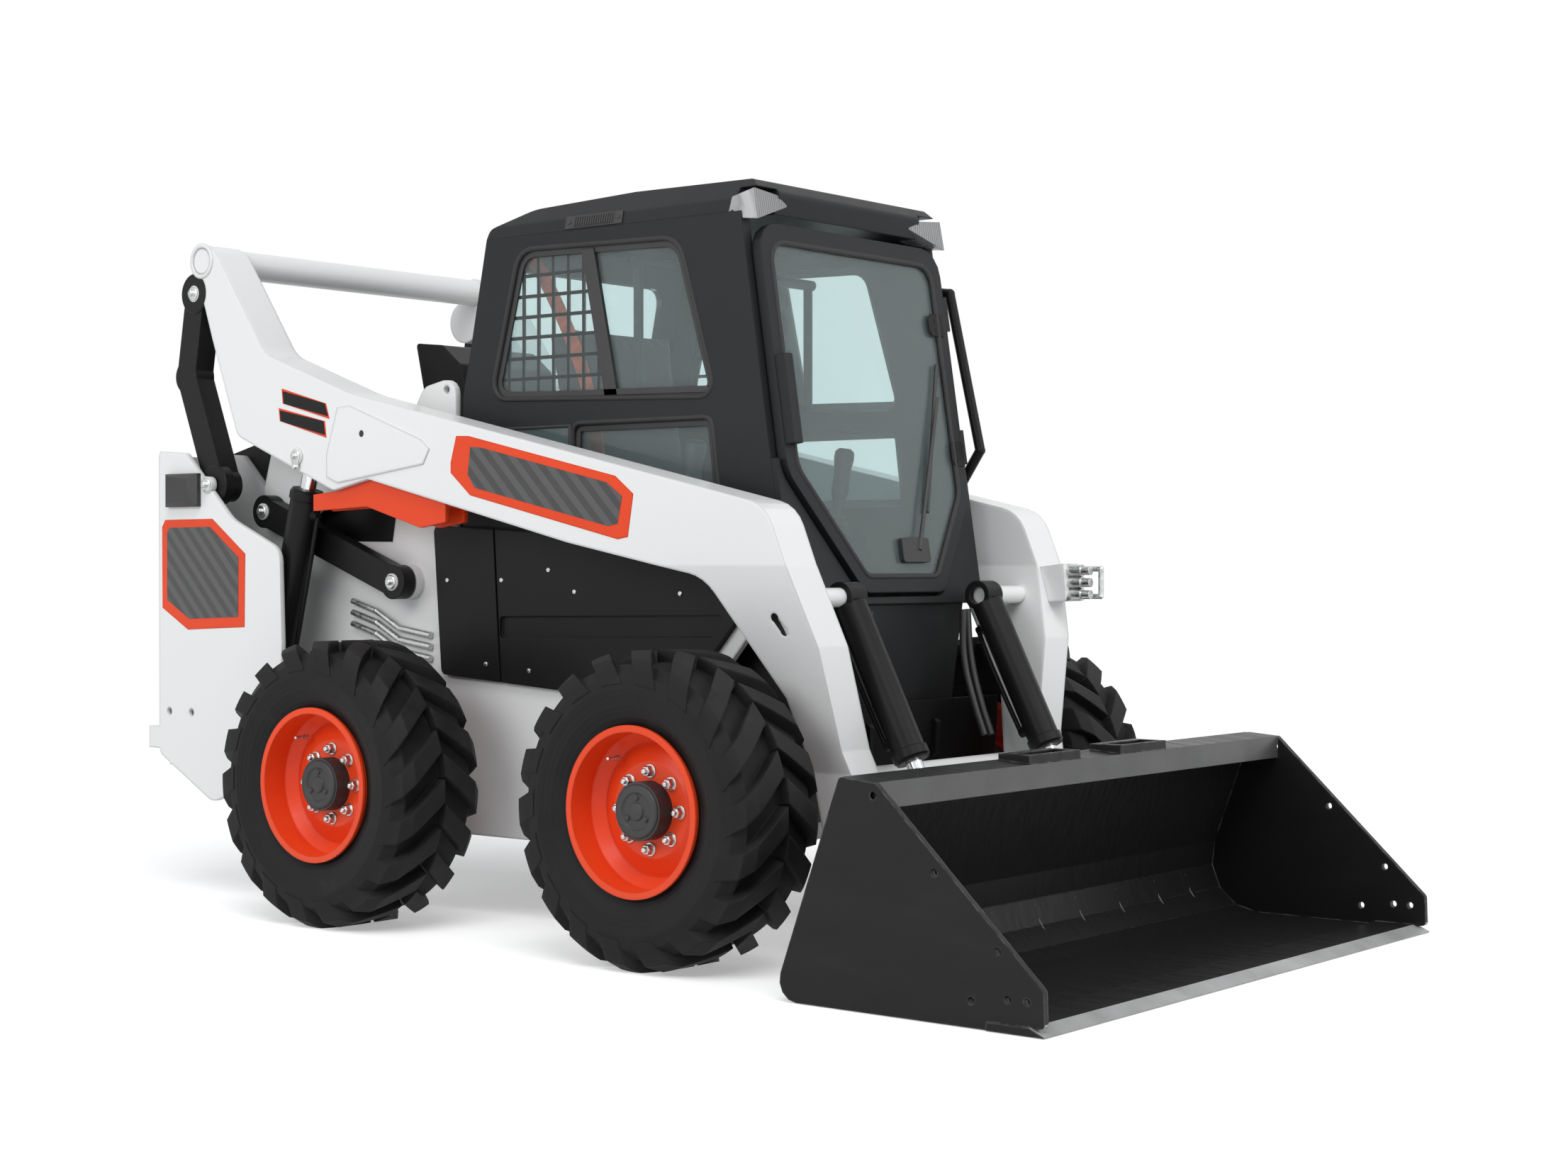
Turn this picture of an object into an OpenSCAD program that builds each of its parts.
// Skid steer loader with a vertical-lift arm linkage, an enclosed cab and a dirt bucket.
// +X forward, +Y left, +Z up. Outlines are tables of shares, and a third column rounds a corner.

/* [Chassis] */
// distance between the axles
wheelbase = 1230; // [1190:10:1270]
// width over the frame side plates
frame_w = 900; // [890:2:906]
// thickness of the frame plates
frame_t = 20; // [12:1:25]
// thickness of the upright's outer plates
tail_t = 15; // [10:1:20]
// outer diameter of the axle housings
axle_d = 170; // [140:5:190]
// diameter of the lifting and tie-down holes
eye_d = 24; // [20:1:30]
// thickness of the rear lamp housings
lamp_t = 35; // [25:1:40]

/* [Wheels] */
// tyre diameter over the lugs
tyre_d = 823; // [800:1:840]
// tyre section width
tyre_w = 305; // [290:1:310]
// distance from the frame side to a wheel's middle plane
wheel_reach = 342.5; // [338:0.5:350]
// height of the tread lugs
lug_h = 34; // [24:1:40]
// thickness of a lug along the tread
lug_t = 52; // [40:1:60]
// rim flange diameter
rim_d = 445; // [430:1:455]
// rim sheet thickness
rim_t = 9; // [6:0.5:12]
// diameter of the flat face that the wheel nuts sit on
disc_d = 250; // [240:1:260]
// hub cap diameter
hub_d = 152; // [130:2:160]

/* [Arms] */
// width of an arm beam
arm_w = 130; // [125:1:135]
// thickness of the arm's side plates
arm_t = 16; // [12:1:20]
// thickness of the control links
link_t = 46; // [40:1:48]
// thickness of the rear links
rear_link_t = 70; // [60:1:74]
// width of the links between their pins
link_w = 104; // [90:1:108]
// linkage pin diameter
pin_d = 52; // [40:1:60]
// diameter of the arm cross tubes
cross_d = 90; // [70:1:96]
// side clearance between moving plates
side_gap = 5; // [3:0.5:6]
// radial clearance of a turning pin
pin_gap = 0.3; // [0.2:0.05:0.6]

/* [Cylinders] */
// lift cylinder barrel diameter
lift_d = 96; // [80:1:98]
// lift cylinder rod diameter
lift_rod_d = 50; // [40:1:55]
// tilt cylinder barrel diameter
tilt_d = 90; // [76:1:96]
// tilt cylinder rod diameter
tilt_rod_d = 45; // [38:1:50]

/* [Bucket] */
// width over the side plates
bucket_w = 1997; // [1900:5:2100]
// thickness of the side plates
side_t = 16; // [10:1:20]
// thickness of the cutting edge
edge_t = 20; // [16:1:26]
// how far the edge stands out past each side plate
edge_lap = 6; // [4:0.5:10]
// diameter of the side plate's bolt holes
bolt_d = 18; // [14:1:20]
// spacing of the side plate's two front bolt holes
bolt_step = 50; // [40:1:60]
// thickness of the attachment plate
plate_t = 35; // [25:1:40]

/* [Cab] */
// how far the cab walls sit inside the frame's outer face
cab_inset = 5; // [3:0.5:8]
// cab wall thickness
wall_t = 35; // [25:1:38]
// glass thickness
glass_t = 6; // [4:0.5:10]
// thickness of sheet panels
sheet_t = 20; // [14:1:24]
// thickness of the front door
door_t = 30; // [24:1:34]
// grab handle tube diameter
handle_d = 30; // [24:1:32]
// hydraulic line diameter
line_d = 20; // [12:1:24]
// thickness of the rear door
gate_t = 45; // [40:1:48]
// diameter of the rear door's hinge knuckles
knuckle_d = 24; // [20:1:26]

/* [Hidden] */
$fa = 6;
$fs = 6;

// X and Z shares follow the wheelbase, and Y shares follow the frame's width
wheelbase_share = 1.23;
frame_share = 0.90;
grid = wheelbase / wheelbase_share;
over_share = 0.02;
over = grid * over_share;
function at(share) = share * grid;
function side(share) = share * frame_w / frame_share;

// an outline's corner as an arc between its two neighbours
corner_steps = 4;
function corner(a, p, b, r) = let (
    u = (a - p) / norm(a - p),
    v = (b - p) / norm(b - p),
    half = acos(u * v) / 2,
    c = p + (u + v) / norm(u + v) * r / sin(half),
    s = p + u * r / tan(half) - c,
    e = p + v * r / tan(half) - c,
    start = atan2(s[1], s[0]),
    sweep = (atan2(e[1], e[0]) - start + 540) % 360 - 180)
    [for (i = [0 : corner_steps]) let (t = start + sweep * i / corner_steps) c + r * [cos(t), sin(t)]];
function flat(p) = [p[0], p[1]];
function rounded(points) = let (n = len(points)) [for (i = [0 : n - 1])
    let (p = points[i], a = flat(points[(i + n - 1) % n]), b = flat(points[(i + 1) % n]))
    each len(p) > 2 ? corner(a, flat(p), b, p[2]) : [p]];

// outlines in X and Z, sections in Y and Z, plans in X and Y
function outline(shares) = rounded([for (p = shares) [for (v = p) at(v)]]);
function section(shares) = rounded([for (p = shares)
    [for (i = [0 : len(p) - 1]) i == 0 ? side(p[0]) : at(p[i])]]);
function plan(shares) = [for (p = shares) [at(p[0]), side(p[1])]];
function spot(share) = [at(share[0]), side(share[1]), at(share[2])];

// the machine's ends, whose middle is the origin
edge_x_share = 1.910;
bumper_x_share = -1.705;
mid_x = at((edge_x_share + bumper_x_share) / 2);

// lateral stack, from the frame outwards
frame_y = frame_w / 2;
arm_in_y = frame_y + 3 * side_gap;
web_y = arm_in_y + arm_t + side_gap;
link_out_y = web_y + link_t;
beam_in_y = frame_y + 15 * side_gap;
beam_out_y = beam_in_y + arm_w;
horn_out_y = beam_out_y - 16 * side_gap;
rear_in_y = horn_out_y + side_gap;
rear_out_y = rear_in_y + rear_link_t;
tail_in_y = rear_out_y + 2 * side_gap;
tail_out_y = tail_in_y + tail_t;
lift_y = (link_out_y + beam_out_y - side_gap) / 2;
cab_y = frame_y - cab_inset;
well_y_share = 0.37;
well_y = side(well_y_share);
leg_in_share = 0.39;
leg_out_share = 0.51;
leg_in_y = side(leg_in_share);
leg_out_y = side(leg_out_share);
tilt_y_share = 0.325;
tilt_y = side(tilt_y_share);

// wheel planes
tyre_r = tyre_d / 2;
wheel_y = frame_y + wheel_reach;
axle_x = wheelbase / 2;

// linkage pins, as shares of the grid in X and Z
pin_a_share = [-1.405, 1.293];
pin_b_share = [-1.500, 1.900];
pin_c_share = [-1.310, 1.210];
pin_d_share = [-0.712, 0.990];
pin_e_share = [1.010, 0.230];
pin_f_share = [-1.235, 0.500];
pin_g_share = [-1.000, 1.372];
pin_t_share = [0.850, 0.955];
pin_h_share = [1.155, 0.355];
rear_bend_share = [-1.545, 1.640];
tail_pin = pin_a_share * grid;
horn_pin = pin_b_share * grid;
web_pin = pin_c_share * grid;
frame_pin = pin_d_share * grid;
tool_pin = pin_e_share * grid;
lift_foot = pin_f_share * grid;
lift_head = pin_g_share * grid;
tilt_head = pin_t_share * grid;
tilt_foot = pin_h_share * grid;
rear_bend = rear_bend_share * grid;
pin_r = pin_d / 2;
bore_r = pin_r + pin_gap;

// shared helpers
module pair() {
    children();
    mirror([0, 1, 0]) children();
}
module placed() {
    translate([-mid_x, 0, 0]) children();
}
module slab(y0, y1) {
    translate([0, y1, 0]) rotate([90, 0, 0]) linear_extrude(y1 - y0) children();
}
module across(half) {
    slab(-half, half) children();
}
module wall_x(x0, x1) {
    translate([x0, 0, 0]) rotate([90, 0, 90]) linear_extrude(x1 - x0) children();
}
module bar_y(p, y0, y1, r) {
    translate([p[0], y1, p[1]]) rotate([90, 0, 0]) cylinder(r = r, h = y1 - y0);
}
module box(x0, x1, y0, y1, z0, z1) {
    translate([x0, y0, z0]) cube([x1 - x0, y1 - y0, z1 - z0]);
}
// a box from its X and Z shares, [low X, high X, low Z, high Z]
module block(shares, y0, y1) {
    box(at(shares[0]), at(shares[1]), y0, y1, at(shares[2]), at(shares[3]));
}
waist_share = 0.86;
module link_bar(p, q, w, y0, y1) {
    u = (q - p) / norm(q - p);
    n = [-u[1], u[0]] * w * waist_share / 2;
    slab(y0, y1) union() {
        polygon([p + n, p - n, q - n, q + n]);
        translate(p) circle(d = w);
        translate(q) circle(d = w);
    }
}
module rod(p, q, r) {
    d = q - p;
    translate(p) rotate([0, acos(d[2] / norm(d)), atan2(d[1], d[0])]) cylinder(r = r, h = norm(d));
}
bend_share = 1.04;
module path(points, r) {
    for (i = [0 : len(points) - 2]) rod(points[i], points[i + 1], r);
    for (i = [1 : len(points) - 2]) translate(points[i]) sphere(r = r * bend_share);
}

// wheels, with the axle along Z and the outer face towards +Z
lug_n = 18;
lug_slant = 38;
carcass_r = tyre_r - lug_h;
bead_r = rim_d / 2 - rim_t;
tyre_shares = [[0.38, 0], [0.47, 0.35], [0.50, 0.62], [0.485, 0.82], [0.40, 1]];
module tyre_body() {
    span = carcass_r - bead_r;
    half = [for (p = tyre_shares) [bead_r + span * p[1], tyre_w * p[0]]];
    back = [for (i = [len(half) - 1 : -1 : 0]) [half[i][0], -half[i][1]]];
    rotate_extrude() polygon(concat(half, back));
}
// the lug band's section: where it starts beside the centre line, its shoulder and its foot
lug_start_share = 0.01;
lug_root_share = 0.33;
lug_under_share = 0.30;
lug_crown_share = 0.37;
lug_side_share = 0.47;
lug_drop_share = 0.60;
lug_foot_share = 0.80;
module lug_band() {
    root = carcass_r - lug_h * lug_root_share;
    foot = tyre_r * lug_foot_share;
    rotate_extrude() polygon([
        [root, tyre_w * lug_start_share], [tyre_r, tyre_w * lug_start_share],
        [tyre_r, tyre_w * lug_crown_share], [tyre_r - lug_h * lug_drop_share, tyre_w * lug_side_share],
        [foot, tyre_w / 2], [foot, tyre_w * lug_crown_share], [root, tyre_w * lug_under_share]]);
}
lug_depth_share = 0.70;
module lug_bars() {
    for (i = [0 : lug_n - 1]) rotate([0, 0, i * 360 / lug_n])
        translate([tyre_r * lug_depth_share, 0, 0]) rotate([lug_slant, 0, 0])
            translate([0, -lug_t / 2, -lug_t]) cube([tyre_r / 2, lug_t, tyre_w]);
}
module half_tread() {
    intersection() {
        lug_band();
        lug_bars();
    }
}
module tyre() {
    color([0.05, 0.05, 0.05]) {
        tyre_body();
        half_tread();
        rotate([0, 0, 180 / lug_n]) mirror([0, 0, 1]) half_tread();
    }
}
// the rim's section: its lips, the drop centre and the steps between them
rim_half_share = 0.457;
drop_share = 0.83;
drop_in_share = 0.30;
drop_out_share = 0.25;
seat_in_share = 0.50;
seat_out_share = 0.45;
disc_share = 0.19;
disc_root_share = 0.20;
disc_neck_share = 1.13;
cap_share = 0.33;
hub_back_share = 0.70;
hub_wide_share = 1.30;
rim_half = tyre_w * rim_half_share;
module wheel() {
    rim_r = rim_d / 2;
    face = tyre_w * disc_share;
    drop = rim_r * drop_share;
    outer = [[rim_r, rim_half], [rim_r, rim_half - rim_t], [bead_r, rim_half - 2 * rim_t],
        [bead_r, rim_half * seat_out_share], [drop, rim_half * drop_out_share],
        [drop, -rim_half * drop_in_share], [bead_r, -rim_half * seat_in_share],
        [bead_r, 2 * rim_t - rim_half], [rim_r, rim_t - rim_half], [rim_r, -rim_half]];
    inner = [[bead_r - rim_t, -rim_half], [bead_r - rim_t, -rim_half * seat_in_share],
        [drop - rim_t, -rim_half * drop_in_share], [drop - rim_t, rim_half * drop_out_share],
        [bead_r - rim_t, rim_half * seat_out_share], [bead_r - rim_t, rim_half]];
    color([0.85, 0.22, 0.06]) {
        rotate_extrude() polygon(concat(outer, inner));
        rotate_extrude() polygon([[0, face], [disc_d / 2, face],
            [disc_d / 2 * disc_neck_share, face - rim_t],
            [drop, rim_half * disc_root_share], [drop, rim_half * disc_root_share - 2 * rim_t],
            [disc_d / 2, face - 3 * rim_t], [0, face - 3 * rim_t]]);
        cylinder(d = hub_d, h = face + hub_d * cap_share);
        translate([0, 0, -rim_half * hub_back_share])
            cylinder(d = hub_d * hub_wide_share, h = rim_half * hub_back_share + face - rim_t);
    }
}
module on_axle(front, left) {
    placed() translate([front * axle_x, left * wheel_y, tyre_r]) rotate([-left * 90, 0, 0]) children();
}
module tyre_front_left() {
    on_axle(1, 1) tyre();
}
module tyre_front_right() {
    on_axle(1, -1) tyre();
}
module tyre_rear_left() {
    on_axle(-1, 1) tyre();
}
module tyre_rear_right() {
    on_axle(-1, -1) tyre();
}
module wheel_front_left() {
    on_axle(1, 1) wheel();
}
module wheel_front_right() {
    on_axle(1, -1) wheel();
}
module wheel_rear_left() {
    on_axle(-1, 1) wheel();
}
module wheel_rear_right() {
    on_axle(-1, -1) wheel();
}

// chassis
tail_shares = [[-1.650, 1.405, 0.01], [-1.515, 1.396, 0.03], [-1.290, 1.185, 0.15], [-1.060, 1.090, 0.06],
    [-1.050, 0.80, 0.05], [-1.068, 0.40, 0.03], [-1.385, 0.297, 0.06], [-1.652, 0.440, 0.03]];
side_shares = [[-1.650, 1.405, 0.01], [-1.515, 1.396, 0.03], [-1.290, 1.185, 0.15], [-1.075, 1.115],
    [-0.80, 1.112], [-0.735, 1.46, 0.05], [-0.66, 1.578, 0.05], [-0.522, 1.605, 0.045], [-0.522, 0.93],
    [0.60, 0.93], [0.62, 0.86], [0.55, 0.78], [0.55, 0.40], [0.42, 0.24, 0.03], [-1.30, 0.24],
    [-1.385, 0.297], [-1.652, 0.440]];
rear_post_shares = [-1.653, -1.633, 0.52, 1.39];
foot_plate_shares = [-1.60, -1.08, 0.405, 0.425];
bumper_shares = [bumper_x_share, -1.65, 0.455, 0.525];
rear_beam_shares = [-1.65, -1.60, 0.44, 0.50];
belly_shares = [[-1.30, 0.24], [0.42, 0.24], [0.43, 0.26], [-1.30, 0.26]];
nose_shares = [[0.42, 0.24], [0.55, 0.40], [0.55, 0.60], [0.53, 0.60], [0.53, 0.41], [0.41, 0.26]];
lift_eye_share = [-0.562, 1.566];
tie_hole_shares = [[-1.601, 0.575], [-1.490, 0.575]];
module main_frame() {
    placed() color([0.93, 0.93, 0.92]) {
        pair() {
            difference() {
                slab(frame_y - frame_t, frame_y) polygon(outline(side_shares));
                bar_y(lift_eye_share * grid, frame_y - frame_t - over, frame_y + over, eye_d / 2);
            }
            difference() {
                slab(tail_in_y, tail_out_y) polygon(outline(tail_shares));
                for (share = tie_hole_shares)
                    bar_y(share * grid, tail_in_y - over, tail_out_y + over, eye_d / 2);
            }
            block(rear_post_shares, frame_y - frame_t, tail_out_y);
            block(foot_plate_shares, frame_y - frame_t, tail_out_y);
            block(bumper_shares, frame_y, tail_out_y);
            bar_y(lift_foot, frame_y - frame_t, tail_out_y, pin_r);
            bar_y(frame_pin, frame_y - frame_t, web_y - side_gap, link_w / 2);
            bar_y(frame_pin, frame_y - frame_t, link_out_y + side_gap, pin_r);
            bar_y(tail_pin, tail_in_y, tail_out_y + side_gap, pin_r);
        }
        across(frame_y) polygon(outline(belly_shares));
        across(frame_y) polygon(outline(nose_shares));
        block(rear_beam_shares, -frame_y, frame_y);
        for (share = gate_knuckle_shares)
            gate_bracket(at(share) + at(knuckle_h_share) + pin_gap);
    }
}
axle_flange_share = 0.75;
module axle_housings() {
    hub_in_y = wheel_y - rim_half * hub_back_share;
    placed() color([0.12, 0.12, 0.12]) pair() for (s = [-1, 1]) {
        bar_y([s * axle_x, tyre_r], frame_y, hub_in_y - pin_gap, axle_d / 2);
        bar_y([s * axle_x, tyre_r], frame_y, frame_y + frame_t, axle_d * axle_flange_share);
    }
}
engine_shares = [-1.50, -0.62, 0.26, 1.12];
engine_y_share = 0.29;
module engine() {
    placed() color([0.3, 0.3, 0.32]) block(engine_shares, -side(engine_y_share), side(engine_y_share));
}
cover_shares = [[-0.598, 1.16, 0.02], [0.50, 1.10, 0.05], [0.60, 0.910, 0.02], [0.51, 0.81, 0.02],
    [0.40, 0.70, 0.06], [-0.05, 0.68], [-0.565, 0.715, 0.02]];
cover_step_shares = [[-0.318, 0.890, 0.01], [0.545, 0.905, 0.01], [0.50, 0.845, 0.01],
    [-0.318, 0.828, 0.01]];
cover_seam_shares = [[-0.350, 1.20], [-0.342, 1.20], [-0.310, 0.68], [-0.318, 0.68]];
module side_covers() {
    placed() color([0.06, 0.06, 0.06]) pair() difference() {
        slab(frame_y, frame_y + sheet_t) polygon(outline(cover_shares));
        slab(frame_y + sheet_t / 2, frame_y + 2 * sheet_t) polygon(outline(cover_step_shares));
        slab(frame_y + sheet_t / 2, frame_y + 2 * sheet_t) polygon(outline(cover_seam_shares));
    }
}
hood_shares = [[-0.505, 1.50], [-1.30, 1.47, 0.2], [-1.60, 1.40, 0.01], [-1.60, 1.37], [-1.29, 1.44],
    [-0.505, 1.47]];
skirt_shares = [[-0.505, 1.08], [-0.505, 1.47], [-1.29, 1.44], [-1.60, 1.37], [-1.60, 1.05]];
intake_shares = [[-0.90, 1.47], [-0.965, 1.745, 0.01], [-0.845, 1.733, 0.02], [-0.765, 1.67, 0.02],
    [-0.70, 1.47]];
intake_y_share = 0.20;
module hood() {
    placed() color([0.08, 0.08, 0.08]) {
        across(frame_y - frame_t) polygon(outline(hood_shares));
        pair() slab(frame_y - frame_t - sheet_t, frame_y - frame_t) polygon(outline(skirt_shares));
        across(side(intake_y_share)) polygon(outline(intake_shares));
    }
}
tail_lamp_shares = [-1.60, -1.44, 1.225, 1.330];
head_lamp_shares = [[0.552, 0.327], [0.635, 0.327], [0.655, 0.36], [0.61, 0.447], [0.552, 0.447]];
roof_z_share = 2.00;
head_lamp_z_share = 2.068;
module lamps() {
    placed() color([0.9, 0.9, 0.85]) pair() {
        block(tail_lamp_shares, tail_out_y, tail_out_y + lamp_t);
        translate([0, 0, at(roof_z_share)]) linear_extrude(at(head_lamp_z_share - roof_z_share))
            polygon(plan(head_lamp_shares));
    }
}

// cab
front_shares = [[0.745, 0.93], [0.596, 1.88], [0.579, 2.00]];
wall_shares = concat([[-0.500, 0.93], [-0.496, 1.543], [-0.466, 1.669], [-0.396, 2.00]],
    [for (i = [2 : -1 : 0]) front_shares[i]]);
upper_window_shares = [[-0.382, 1.528, 0.05], [-0.264, 1.962, 0.07], [0.355, 1.948, 0.08],
    [0.491, 1.501, 0.04]];
lower_window_shares = [[-0.05, 1.215, 0.03], [-0.05, 1.447, 0.03], [0.475, 1.447, 0.03],
    [0.505, 1.215, 0.03]];
module cab_side() {
    color([0.13, 0.13, 0.14]) difference() {
        slab(cab_y - wall_t, cab_y) polygon(outline(wall_shares));
        slab(cab_y - 2 * wall_t, cab_y + wall_t) polygon(outline(upper_window_shares));
        slab(cab_y - 2 * wall_t, cab_y + wall_t) polygon(outline(lower_window_shares));
    }
}
module cab_left_wall() {
    placed() cab_side();
    color([0.13, 0.13, 0.14]) for (share = door_knuckle_shares)
        door_bracket(at(share) + at(knuckle_h_share) + pin_gap);
}
module cab_right_wall() {
    placed() mirror([0, 1, 0]) cab_side();
}
roof_shares = [[-0.396, 2.00], [-0.388, 2.03, 0.03], [-0.235, 2.080, 0.2], [0.15, 2.097],
    [0.585, 2.092, 0.02], [0.622, 2.055, 0.02], [0.600, 2.00]];
roof_half_shares = [[0.445, 2.00], [0.437, 2.035, 0.03], [0.39, 2.10]];
lamp_notch_shares = [0.552, 0.80, 1.98, head_lamp_z_share];
lamp_notch_y_share = 0.327;
vent_x_shares = [-0.06, 0.13];
vent_z_shares = [2.016, 2.034];
vent_n = 8;
module cab_roof() {
    mirrored = [for (i = [2 : -1 : 0]) [for (k = [0 : len(roof_half_shares[i]) - 1])
        k == 0 ? -roof_half_shares[i][0] : roof_half_shares[i][k]]];
    vent_step = at(vent_x_shares[1] - vent_x_shares[0]) / vent_n;
    placed() color([0.13, 0.13, 0.14]) difference() {
        intersection() {
            across(cab_y) polygon(outline(roof_shares));
            wall_x(-grid, grid) polygon(section(concat(roof_half_shares, mirrored)));
        }
        pair() block(lamp_notch_shares, side(lamp_notch_y_share), cab_y + over);
        pair() for (i = [0 : vent_n - 1]) translate([at(vent_x_shares[0]) + i * vent_step, 0, 0])
            block(concat([0, vent_step / 2 / grid], vent_z_shares), cab_y - sheet_t, cab_y + over);
    }
}
rear_shares = [[-0.500, 0.95], [-0.496, 1.543], [-0.466, 1.669], [-0.396, 2.00], [-0.361, 2.00],
    [-0.431, 1.669], [-0.461, 1.543], [-0.465, 0.95]];
rear_window_shares = [[0.33, 1.56, 0.05], [0.33, 1.92, 0.05], [-0.33, 1.92, 0.05], [-0.33, 1.56, 0.05]];
module rear_window() {
    wall_x(-grid, 0) polygon(section(rear_window_shares));
}
module cab_rear_wall() {
    placed() color([0.13, 0.13, 0.14]) difference() {
        across(cab_y - wall_t) polygon(outline(rear_shares));
        rear_window();
    }
}
well_shares = [[0.745, 0.93], [0.70, 0.60, 0.02], [0.10, 0.60], [0.10, 0.62], [0.68, 0.62], [0.725, 0.93]];
well_side_shares = [[0.10, 0.60], [0.70, 0.60, 0.02], [0.745, 0.93], [0.10, 0.93]];
well_rim_shares = [0.10, 0.72, 0.93, 0.95];
seat_floor_shares = [-0.50, 0.10, 0.93, 0.95];
well_back_shares = [0.10, 0.12, 0.60, 0.95];
module cab_floor() {
    placed() color([0.10, 0.10, 0.10]) {
        across(well_y) polygon(outline(well_shares));
        pair() slab(well_y - sheet_t, well_y) polygon(outline(well_side_shares));
        pair() block(well_rim_shares, well_y - sheet_t, cab_y - wall_t);
        block(seat_floor_shares, wall_t - cab_y, cab_y - wall_t);
        block(well_back_shares, -well_y, well_y);
    }
}
glass_in_share = 0.50;
module cab_glass() {
    pane_y = cab_y - wall_t * glass_in_share;
    placed() color([0.55, 0.75, 0.78, 0.4]) {
        pair() slab(pane_y - glass_t, pane_y) polygon(outline(upper_window_shares));
        pair() slab(pane_y - glass_t, pane_y) polygon(outline(lower_window_shares));
        intersection() {
            across(cab_y - wall_t) polygon([for (i = [0 : len(rear_shares) - 1])
                rear_shares[i] * grid + [i < len(rear_shares) / 2 ? glass_t : -glass_t, 0]]);
            rear_window();
        }
    }
}
sash_shares = [[-0.382, 1.528, 0.05], [-0.264, 1.962, 0.07], [0.005, 1.955], [0.096, 1.518]];
mesh_step_share = 0.06;
mesh_bar_share = 0.01;
mesh_x_share = -0.39;
mesh_z_share = 1.52;
mesh_n = 9;
module window_guards() {
    guard_y = cab_y - wall_t * glass_in_share - glass_t;
    step = at(mesh_step_share);
    bar = at(mesh_bar_share);
    span = mesh_n * step;
    placed() color([0.05, 0.05, 0.05]) pair() intersection() {
        slab(guard_y - glass_t, guard_y) polygon(outline(sash_shares));
        translate([at(mesh_x_share), guard_y - glass_t, at(mesh_z_share)]) for (i = [0 : mesh_n - 1]) {
            translate([i * step, 0, -step]) cube([bar, glass_t, span]);
            translate([-step, 0, i * step]) cube([span + step, glass_t, bar]);
        }
    }
}
handle_shares = [[0.55, 1.86], [0.625, 1.85], [0.735, 1.38], [0.66, 1.27]];
post_share = 0.62;
module grab_handle() {
    grip_y = cab_y + handle_d;
    post_r = handle_d * post_share;
    grip = [for (p = handle_shares) [at(p[0]), grip_y, at(p[1])]];
    placed() color([0.05, 0.05, 0.05]) {
        for (i = [0, 3]) bar_y(handle_shares[i] * grid, cab_y, grip_y + post_r, post_r);
        path(grip, handle_d / 2);
    }
}
seat_base_shares = [-0.40, 0.06, 0.95, 1.12];
cushion_shares = [-0.38, 0.10, 1.12, 1.24];
seat_y_share = 0.25;
module seat_base() {
    base_y = side(seat_y_share) - side_gap;
    placed() color([0.1, 0.1, 0.1]) block(seat_base_shares, -base_y, base_y);
}
module seat_cushion() {
    placed() color([0.12, 0.12, 0.12]) block(cushion_shares, -side(seat_y_share), side(seat_y_share));
}
back_foot_share = [-0.17, 1.2594];
back_share = [0.11, 0.52];
back_lean = 10;
module seat_back() {
    back_y = side(seat_y_share) - 2 * side_gap;
    placed() color([0.12, 0.12, 0.12]) translate([at(back_foot_share[0]), 0, at(back_foot_share[1])])
        rotate([0, -back_lean, 0]) box(-at(back_share[0]), 0, -back_y, back_y, 0, at(back_share[1]));
}
// the belt hangs from the right wall and runs down to the right console
belt_shares = [[-0.300, -0.399, 1.985], [-0.240, -0.350, 1.870], [-0.100, -0.335, 1.580],
    [-0.0175, -0.335, 1.203]];
module seat_belt() {
    placed() color([0.9, 0.4, 0.05]) path([for (share = belt_shares) spot(share)], line_d / 2);
}
console_shares = [-0.26, 0.20, 0.95, 1.20];
pod_shares = [0.20, 0.37, 0.95, 1.12];
console_y_shares = [0.30, 0.40];
stick_shares = [[0.287, 0.34, 1.10], [0.330, 0.34, 1.37]];
module control_levers() {
    placed() color([0.05, 0.05, 0.05]) pair() {
        block(console_shares, side(console_y_shares[0]), side(console_y_shares[1]));
        block(pod_shares, side(console_y_shares[0]), side(console_y_shares[1]));
        rod(spot(stick_shares[0]), spot(stick_shares[1]), line_d);
    }
}
// the operator's safety bar, raised: its pivot tubes, its uprights and the bar across
bar_shares = [[-0.4605, 0.385, 1.525], [0.155, 0.385, 1.525], [0.155, 0.385, 1.900]];
bar_end_share = 0.406;
bar_thin_share = 0.7;
bar_thick_share = 0.8;
module seat_bar() {
    bar = [for (share = bar_shares) spot(share)];
    r = line_d * bar_thin_share;
    placed() color([0.05, 0.05, 0.05]) {
        pair() path(bar, r);
        bar_y([bar[2][0], bar[2][2]], -side(bar_end_share), side(bar_end_share), line_d * bar_thick_share);
    }
}
line_shares = [[-0.97, 0.93], [-0.86, 0.90], [-0.76, 0.85], [-0.62, 0.83]];
line_step_share = 0.035;
line_n = 3;
module hydraulic_lines() {
    line_y = frame_y + line_d / 2 * bend_share + pin_gap;
    placed() color([0.2, 0.2, 0.2]) pair() for (i = [0 : line_n - 1])
        path([for (p = line_shares) [at(p[0]), line_y, at(p[1] - i * line_step_share)]], line_d / 2);
}

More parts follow.
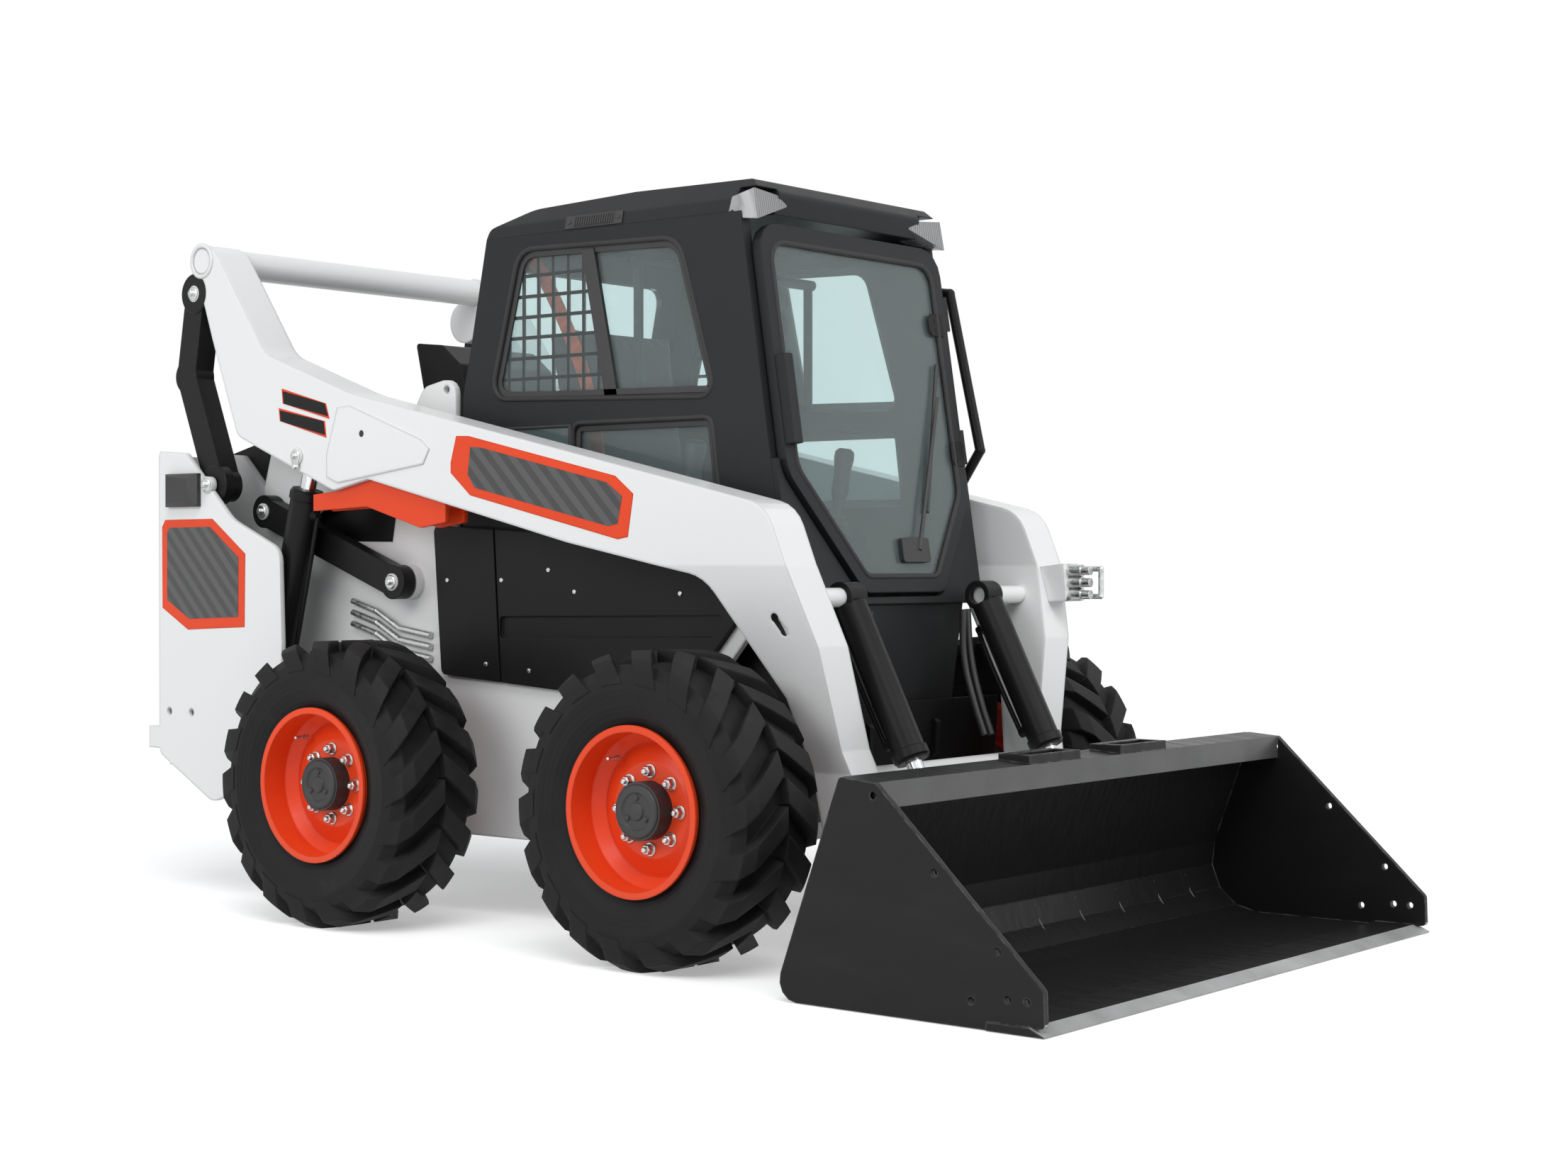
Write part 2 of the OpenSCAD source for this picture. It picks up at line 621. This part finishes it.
// the cab front leans back, and the front door is built in that leaning plane
lean = atan2(front_shares[0][0] - front_shares[1][0], front_shares[1][1] - front_shares[0][1]);
module door_plane() {
    foot = front_shares[0] * grid;
    placed() translate([foot[0], 0, foot[1]]) rotate([0, -lean, 0]) children();
}
door_shares = [[0.24, 0.03, 0.05], [0.42, 0.30, 0.10], [0.42, 1.05, 0.08], [-0.42, 1.05, 0.08],
    [-0.42, 0.36, 0.10], [-0.14, 0.03, 0.05]];
door_glass_shares = [[0.215, 0.075, 0.04], [0.375, 0.315, 0.08], [0.375, 1.00, 0.06], [-0.375, 1.00, 0.06],
    [-0.375, 0.375, 0.08], [-0.12, 0.075, 0.04]];
door_hole_shares = [[0.248, 0.02, 0.05], [0.43, 0.295, 0.10], [0.43, 1.10], [-0.43, 1.10],
    [-0.43, 0.36, 0.10], [-0.146, 0.02, 0.05]];
panel_shares = [[0.445, 0], [0.445, 0.40], [-0.445, 0.40], [-0.445, 0]];
door_x = side_gap;
door_y_share = 0.42;
hinge_out_share = 0.40;
hinge_x = door_x + door_t / 2;
hinge_y = side(door_y_share) + door_t * hinge_out_share;
door_knuckle_shares = [0.41, 0.81];
knuckle_h_share = 0.05;
module cab_front_panel() {
    color([0.13, 0.13, 0.14]) door_plane() difference() {
        wall_x(0, door_x + door_t / 2) polygon(section(panel_shares));
        wall_x(-over, door_x + door_t) polygon(section(door_hole_shares));
    }
}
module door_bracket(z) {
    h = at(knuckle_h_share);
    door_plane() {
        translate([hinge_x, hinge_y, z]) cylinder(d = door_t, h = h);
        box(-side_gap, hinge_x, hinge_y - door_t / 4, hinge_y + door_t / 4, z, z + h);
    }
}
latch_shares = [-0.415, -0.377];
latch_z_shares = [0.435, 0.68];
module door_frame() {
    door_plane() color([0.08, 0.08, 0.08]) {
        difference() {
            wall_x(door_x, door_x + door_t) polygon(section(door_shares));
            wall_x(door_x - over, door_x + door_t + over) polygon(section(door_glass_shares));
            for (share = door_knuckle_shares) translate([hinge_x, hinge_y, at(share + knuckle_h_share)])
                cylinder(r = door_t / 2 + side_gap, h = at(knuckle_h_share) + 2 * pin_gap);
        }
        for (share = door_knuckle_shares) translate([hinge_x, hinge_y, at(share)])
            cylinder(d = door_t, h = at(knuckle_h_share));
        box(door_x + door_t / 2, door_x + 2 * door_t, side(latch_shares[0]), side(latch_shares[1]),
            at(latch_z_shares[0]), at(latch_z_shares[1]));
    }
}
module door_glass() {
    door_plane() color([0.55, 0.75, 0.78, 0.4])
        wall_x(hinge_x, hinge_x + glass_t) polygon(section(door_glass_shares));
}
motor_shares = [[0.05, 0.115, 0.01], [0.18, 0.115, 0.01], [0.18, 0.185, 0.01], [0.05, 0.185, 0.01]];
wiper_shares = [[0.13, 0.15], [0.315, 0.60]];
blade_shares = [[0.20, 0.26], [0.340, 0.70]];
module wiper() {
    glass_x = hinge_x + glass_t;
    arm_x = glass_x + door_t / 2;
    door_plane() color([0.04, 0.04, 0.04]) {
        wall_x(glass_x, arm_x) polygon(section(motor_shares));
        rod([arm_x, side(wiper_shares[0][0]), at(wiper_shares[0][1])],
            [arm_x, side(wiper_shares[1][0]), at(wiper_shares[1][1])], glass_t);
        rod([arm_x - glass_t, side(blade_shares[0][0]), at(blade_shares[0][1])],
            [arm_x - glass_t, side(blade_shares[1][0]), at(blade_shares[1][1])], glass_t);
    }
}

// rear door, hinged on the left behind the frame's side plate
gate_in_share = -1.640;
gate_hinge_share = -1.690;
gate_z_shares = [0.535, 1.36];
gate_knuckle_shares = [0.66, 1.16];
gate_y = frame_y - frame_t - side_gap;
gate_pin_y = frame_y - frame_t / 2;
slot_y_share = 0.33;
slot_z_share = 0.66;
slot_h_share = 0.03;
slot_n = 10;
module gate_bracket(z) {
    h = at(knuckle_h_share);
    translate([at(gate_hinge_share), gate_pin_y, z]) cylinder(d = knuckle_d, h = h);
    leaf = frame_t / 4;
    box(at(gate_hinge_share), at(gate_in_share), gate_pin_y - leaf, gate_pin_y + leaf, z, z + h);
}
module tailgate() {
    gate_x = at(gate_in_share) - gate_t;
    placed() color([0.10, 0.10, 0.10]) {
        difference() {
            box(gate_x, at(gate_in_share), -gate_y, gate_y, at(gate_z_shares[0]), at(gate_z_shares[1]));
            for (i = [0 : slot_n - 1]) translate([gate_x, 0, at(slot_z_share) + 2 * i * at(slot_h_share)])
                box(-over, gate_t / 2, -side(slot_y_share), side(slot_y_share), 0, at(slot_h_share));
        }
        for (share = gate_knuckle_shares) {
            translate([at(gate_hinge_share), gate_pin_y, at(share)])
                cylinder(d = knuckle_d, h = at(knuckle_h_share));
            translate([at(gate_hinge_share), 0, at(share)])
                box(0, knuckle_d / 2, gate_y - knuckle_d, gate_pin_y, 0, at(knuckle_h_share));
        }
    }
}

// lift arms: the beam's outline, and the leg that leans inwards below the knee
knee_share = [0.838, 1.198];
shin_share = [0.905, 1.036];
calf_share = [0.965, 0.830];
arm_shares = [[-1.440, 2.048], [-1.392, 2.026, 0.03], [-1.152, 1.692, 0.12], [-0.761, 1.553, 0.5],
    [knee_share[0], knee_share[1], 0.11], shin_share, calf_share, [0.985, 0.560], [1.075, 0.27],
    [0.945, 0.20], [0.862, 0.560, 0.1], [0.831, 0.694], [0.620, 1.010, 0.12], [0.130, 1.104],
    [-0.684, 1.296], [-0.837, 1.265, 0.03], [-1.284, 1.443, 0.05], [-1.405, 1.748, 0.2],
    [-1.460, 1.900], [-1.500, 2.000]];
web_shares = [[-1.10, 1.60], [-0.90, 1.56], [-0.90, 1.30], [-1.22, 1.155, 0.05], [-1.36, 1.170, 0.05],
    [-1.37, 1.28, 0.05], [-1.30, 1.50]];
web_top_shares = [[-1.20, 1.60], [-0.95, 1.57], [-0.93, 1.52], [-1.22, 1.54]];
channel_shares = [[-0.86, 1.20], [-0.88, 1.42, 0.03], [-1.06, 1.53, 0.03], [-1.24, 1.53, 0.03],
    [-1.40, 1.30], [-1.40, 1.10]];
cross_share = [-1.455, 2.000];
low_cross_share = [0.925, 0.46];
knee_z_share = 1.04;
low_z_share = 0.50;
top_z_share = 2.20;
horn_pad_share = 0.70;
foot_pad_share = 1.50;
arm_slot_shares = [[0.838, 0.905], [0.862, 0.870]];
arm_slot_w_share = 0.024;
module arm_section() {
    knee_z = at(knee_z_share);
    low_z = at(low_z_share);
    top_z = at(top_z_share);
    polygon([[beam_in_y, top_z], [beam_out_y, top_z], [beam_out_y, knee_z], [leg_out_y, low_z],
        [leg_out_y, 0], [leg_in_y, 0], [leg_in_y, low_z], [beam_in_y, knee_z]]);
}
module arm() {
    color([0.94, 0.94, 0.93]) {
        difference() {
            union() {
                intersection() {
                    slab(leg_in_y, beam_out_y) polygon(outline(arm_shares));
                    wall_x(-2 * grid, 2 * grid) arm_section();
                }
                slab(arm_in_y, arm_in_y + arm_t) polygon(outline(web_shares));
                slab(arm_in_y, beam_in_y + arm_t) polygon(outline(web_top_shares));
                bar_y(cross_share * grid, beam_in_y, beam_out_y - side_gap, cross_d / 2 + side_gap);
                bar_y(horn_pin, beam_in_y, horn_out_y, link_w * horn_pad_share);
                bar_y(tool_pin, leg_in_y, leg_out_y, pin_d * foot_pad_share);
                bar_y(tilt_head, tilt_y - 3 * side_gap, beam_in_y + arm_t, pin_r);
            }
            slab(arm_in_y + arm_t, beam_out_y - arm_t) polygon(outline(channel_shares));
            bar_y(horn_pin, horn_out_y, beam_out_y + over, link_w / 2 + 2 * side_gap);
            bar_y(tool_pin, 0, beam_out_y, bore_r);
            link_bar(arm_slot_shares[0] * grid, arm_slot_shares[1] * grid, at(arm_slot_w_share),
                beam_out_y - 4 * arm_t, beam_out_y + over);
        }
        bar_y(web_pin, arm_in_y, link_out_y + side_gap, pin_r);
        bar_y(horn_pin, beam_in_y, rear_out_y + side_gap, pin_r);
        bar_y(lift_head, beam_out_y - arm_t, beam_out_y + side_gap, pin_r);
    }
}
module lift_arm_left() {
    placed() arm();
}
module lift_arm_right() {
    placed() mirror([0, 1, 0]) arm();
}
module arm_cross_members() {
    placed() color([0.94, 0.94, 0.93]) {
        bar_y(cross_share * grid, -beam_in_y, beam_in_y, cross_d / 2);
        bar_y(low_cross_share * grid, -leg_in_y, leg_in_y, cross_d / 2);
    }
}
// a channel that is stored under the right arm and locks the raised arms
support_shares = [[-0.95, 1.255], [-0.837, 1.264], [-0.684, 1.295], [-0.372, 1.2215], [-0.372, 1.165],
    [-0.48, 1.150], [-0.71, 1.215], [-0.95, 1.205]];
module arm_support() {
    y0 = beam_in_y + 4 * side_gap;
    y1 = beam_out_y - 4 * side_gap;
    placed() color([0.85, 0.22, 0.06]) mirror([0, 1, 0]) difference() {
        slab(y0, y1) polygon(outline(support_shares));
        slab(y0 + arm_t, y1 - arm_t) translate([0, -arm_t]) polygon(outline(support_shares));
    }
}
// three quick couplers on a block at the left knee, with a guard loop round them
coupler_shares = [shin_share, [0.985, 1.045], [0.995, 0.935], [0.935, 0.933]];
coupler_z_shares = [0.955, 0.990, 1.025];
coupler_x_share = 1.060;
coupler_d_share = 0.026;
collar_share = 1.35;
guard_x_share = 1.075;
guard_z_shares = [0.950, 1.030];
coupler_row_share = 0.40;
guard_d_share = 0.016;
module couplers() {
    y0 = beam_in_y + 2 * side_gap;
    y1 = beam_out_y - 8 * side_gap;
    mid_y = y0 + (y1 - y0) * coupler_row_share;
    front_x = at(coupler_shares[1][0]) - side_gap;
    guard_y = y1 - at(guard_d_share);
    loop_x = at(guard_x_share);
    low = at(guard_z_shares[0]);
    high = at(guard_z_shares[1]);
    d = at(coupler_d_share);
    placed() color([0.1, 0.1, 0.1]) {
        slab(y0, y1) polygon(outline(coupler_shares));
        for (share = coupler_z_shares) {
            rod([front_x, mid_y, at(share)], [at(coupler_x_share), mid_y, at(share)], d / 2);
            rod([front_x, mid_y, at(share)], [front_x + 2 * d, mid_y, at(share)], d * collar_share / 2);
        }
        path([[front_x, guard_y, low], [loop_x, guard_y, low], [loop_x, guard_y, high],
            [front_x, guard_y, high]], at(guard_d_share) / 2);
    }
}

// links
module rear_links() {
    placed() color([0.05, 0.05, 0.05]) pair() difference() {
        union() {
            link_bar(tail_pin, rear_bend, link_w, rear_in_y, rear_out_y);
            link_bar(rear_bend, horn_pin, link_w, rear_in_y, rear_out_y);
        }
        bar_y(tail_pin, rear_in_y - over, rear_out_y + over, bore_r);
        bar_y(horn_pin, rear_in_y - over, rear_out_y + over, bore_r);
    }
}
module control_links() {
    placed() color([0.05, 0.05, 0.05]) pair() difference() {
        link_bar(web_pin, frame_pin, link_w, web_y, link_out_y);
        bar_y(web_pin, web_y - over, link_out_y + over, bore_r);
        bar_y(frame_pin, web_y - over, link_out_y + over, bore_r);
    }
}

// cylinders: p is the barrel's pin, q is the rod's pin
barrel_eye_share = 0.80;
barrel_pad_share = 0.80;
barrel_bore_share = 0.72;
rod_pad_share = 1.70;
// a stretch of a cylinder's axis, from one distance to another along it, in the plane at y
module stretch(p, u, from, to, y, r) {
    a = p + u * from;
    b = p + u * to;
    rod([a[0], y, a[1]], [b[0], y, b[1]], r);
}
module barrel(p, q, y, d, run, rod_d) {
    u = (q - p) / norm(q - p);
    pad = d * barrel_pad_share / 2;
    difference() {
        union() {
            stretch(p, u, pin_r, run, y, d / 2);
            bar_y(p, y - pad, y + pad, pin_d * barrel_eye_share);
        }
        bar_y(p, y - d, y + d, bore_r);
        stretch(p, u, pin_d, run - rod_d, y, d * barrel_bore_share / 2);
        stretch(p, u, pin_d, norm(q - p), y, rod_d / 2 + pin_gap);
    }
}
module piston_rod(p, q, y, d, eye, start) {
    u = (q - p) / norm(q - p);
    difference() {
        union() {
            stretch(p, u, start, norm(q - p), y, d / 2);
            bar_y(q, y - eye / 2, y + eye / 2, pin_r * rod_pad_share);
        }
        bar_y(q, y - eye, y + eye, bore_r);
    }
}
lift_run_share = 0.80;
tilt_run_share = 0.48;
tilt_start_share = 0.16;
rod_eye_share = 0.60;
module lift_barrels() {
    placed() color([0.05, 0.05, 0.05]) pair()
        barrel(lift_foot, lift_head, lift_y, lift_d, at(lift_run_share), lift_rod_d);
}
module lift_rods() {
    placed() color([0.8, 0.8, 0.82]) pair()
        piston_rod(lift_foot, lift_head, lift_y, lift_rod_d, lift_d * rod_eye_share, 2 * pin_d);
}
module tilt_barrels() {
    placed() color([0.05, 0.05, 0.05]) pair()
        barrel(tilt_head, tilt_foot, tilt_y, tilt_d, at(tilt_run_share), tilt_rod_d);
}
module tilt_rods() {
    placed() color([0.8, 0.8, 0.82]) pair()
        piston_rod(tilt_head, tilt_foot, tilt_y, tilt_rod_d, tilt_d * rod_eye_share, at(tilt_start_share));
}

// the bucket's back is a straight line in X and Z that the attachment plate lies along
heel_share = [1.138, 0.002];
crest_share = [1.338, 0.546];
heel = heel_share * grid;
back_run = (crest_share - heel_share) * grid;
back_u = back_run / norm(back_run);
back_n = [-back_u[1], back_u[0]];
function behind(run, off) = heel + back_u * run + back_n * off;
plate_run_shares = [0.06, 0.56];
plate_y_share = 0.58;
// slots in the plate between the tilt ears leave room for the rod eyes when the bucket rolls back
relief_run_shares = [0.27, 0.46];
ear_run_share = 0.18;
ear_w_share = 2.00;
tilt_ear_shares = [0.29, 0.47];
module attachment_plate() {
    ear_in = leg_in_y - side_gap;
    ear_out = leg_out_y + side_gap;
    foot = behind(at(ear_run_share), plate_t + pin_d);
    rod_eye = tilt_d * rod_eye_share / 2 + side_gap;
    plate = [for (k = [0, 1]) behind(at(plate_run_shares[k]), pin_gap)];
    rear = [for (k = [1, 0]) behind(at(plate_run_shares[k]), pin_gap + plate_t)];
    relief = [for (k = [0, 1]) behind(at(relief_run_shares[k]), -over)];
    relief_rear = [for (k = [1, 0]) behind(at(relief_run_shares[k]), plate_t + over)];
    tilt_root = [for (share = tilt_ear_shares) behind(at(share), plate_t / 2)];
    tilt_ear = [tilt_foot + [-pin_r, -pin_r], tilt_foot + [-pin_r, pin_r], tilt_root[1], tilt_root[0]];
    placed() color([0.07, 0.07, 0.07]) {
        difference() {
            across(side(plate_y_share)) polygon(concat(plate, rear));
            pair() slab(tilt_y - rod_eye, tilt_y + rod_eye) polygon(concat(relief, relief_rear));
        }
        pair() {
            for (y = [ear_in - sheet_t, ear_out]) {
                link_bar(tool_pin, foot, pin_d * ear_w_share, y, y + sheet_t);
                link_bar(foot, behind(at(ear_run_share), plate_t + pin_gap), pin_d, y, y + sheet_t);
            }
            bar_y(tool_pin, ear_in - sheet_t, ear_out + sheet_t, pin_r);
            for (y = [tilt_y - rod_eye - sheet_t, tilt_y + rod_eye]) slab(y, y + sheet_t)
                polygon(tilt_ear);
        }
    }
}
bucket_low_share = 0.002;
bucket_shares = [[heel_share[0], heel_share[1], 0.05], [crest_share[0], crest_share[1], 0.01],
    [1.444, 0.538, 0.01], [1.905, 0.105, 0.02], [1.908, 0.022, 0.01], [1.760, bucket_low_share]];
shell_shares = [[heel_share[0], heel_share[1], 0.05], crest_share, [1.444, 0.538], [1.444, 0.475],
    [1.400, 0.470], [1.3435, 0.505], [1.163, 0.014, 0.15], [1.775, 0.014], [1.775, bucket_low_share]];
edge_back_share = 1.755;
edge_bevel_share = 1.870;
edge_nose_share = 0.10;
pair_hole_share = [1.811, 0.076];
side_hole_shares = [[1.712, 0.064], [1.784, 0.180], [1.610, 0.343], [1.437, 0.508]];
step_shares = [1.345, 1.440, 0.536, 0.562];
step_gap_shares = [1.370, 1.430, 0.536, 0.580];
step_y_shares = [0.10, 0.34];
module side_plate(half) {
    first = pair_hole_share * grid;
    holes = concat([first, first + [bolt_step, 0]], [for (share = side_hole_shares) share * grid]);
    difference() {
        slab(half - side_t, half) polygon(outline(bucket_shares));
        for (p = holes) bar_y(p, half - side_t - over, half + over, bolt_d / 2);
    }
}
module bucket() {
    half = bucket_w / 2;
    low = at(bucket_low_share);
    step_y = [for (share = step_y_shares) side(share)];
    placed() color([0.06, 0.06, 0.06]) {
        pair() side_plate(half);
        across(half - side_t) polygon(outline(shell_shares));
        across(half + edge_lap) polygon([[at(edge_back_share), low], [at(edge_x_share), low],
            [at(edge_x_share), low + edge_t * edge_nose_share], [at(edge_bevel_share), low + edge_t],
            [at(edge_back_share), low + edge_t]]);
        pair() difference() {
            block(step_shares, step_y[0], step_y[1]);
            block(step_gap_shares, step_y[0] + sheet_t, step_y[1] - sheet_t);
        }
    }
}

main_frame();
axle_housings();
engine();
side_covers();
hood();
lamps();
cab_left_wall();
cab_right_wall();
cab_roof();
cab_rear_wall();
cab_floor();
cab_front_panel();
cab_glass();
window_guards();
grab_handle();
seat_base();
seat_cushion();
seat_back();
seat_belt();
control_levers();
seat_bar();
hydraulic_lines();
door_frame();
door_glass();
wiper();
tailgate();
lift_arm_left();
lift_arm_right();
arm_cross_members();
arm_support();
couplers();
rear_links();
control_links();
lift_barrels();
lift_rods();
tilt_barrels();
tilt_rods();
attachment_plate();
bucket();
tyre_front_left();
tyre_front_right();
tyre_rear_left();
tyre_rear_right();
wheel_front_left();
wheel_front_right();
wheel_rear_left();
wheel_rear_right();
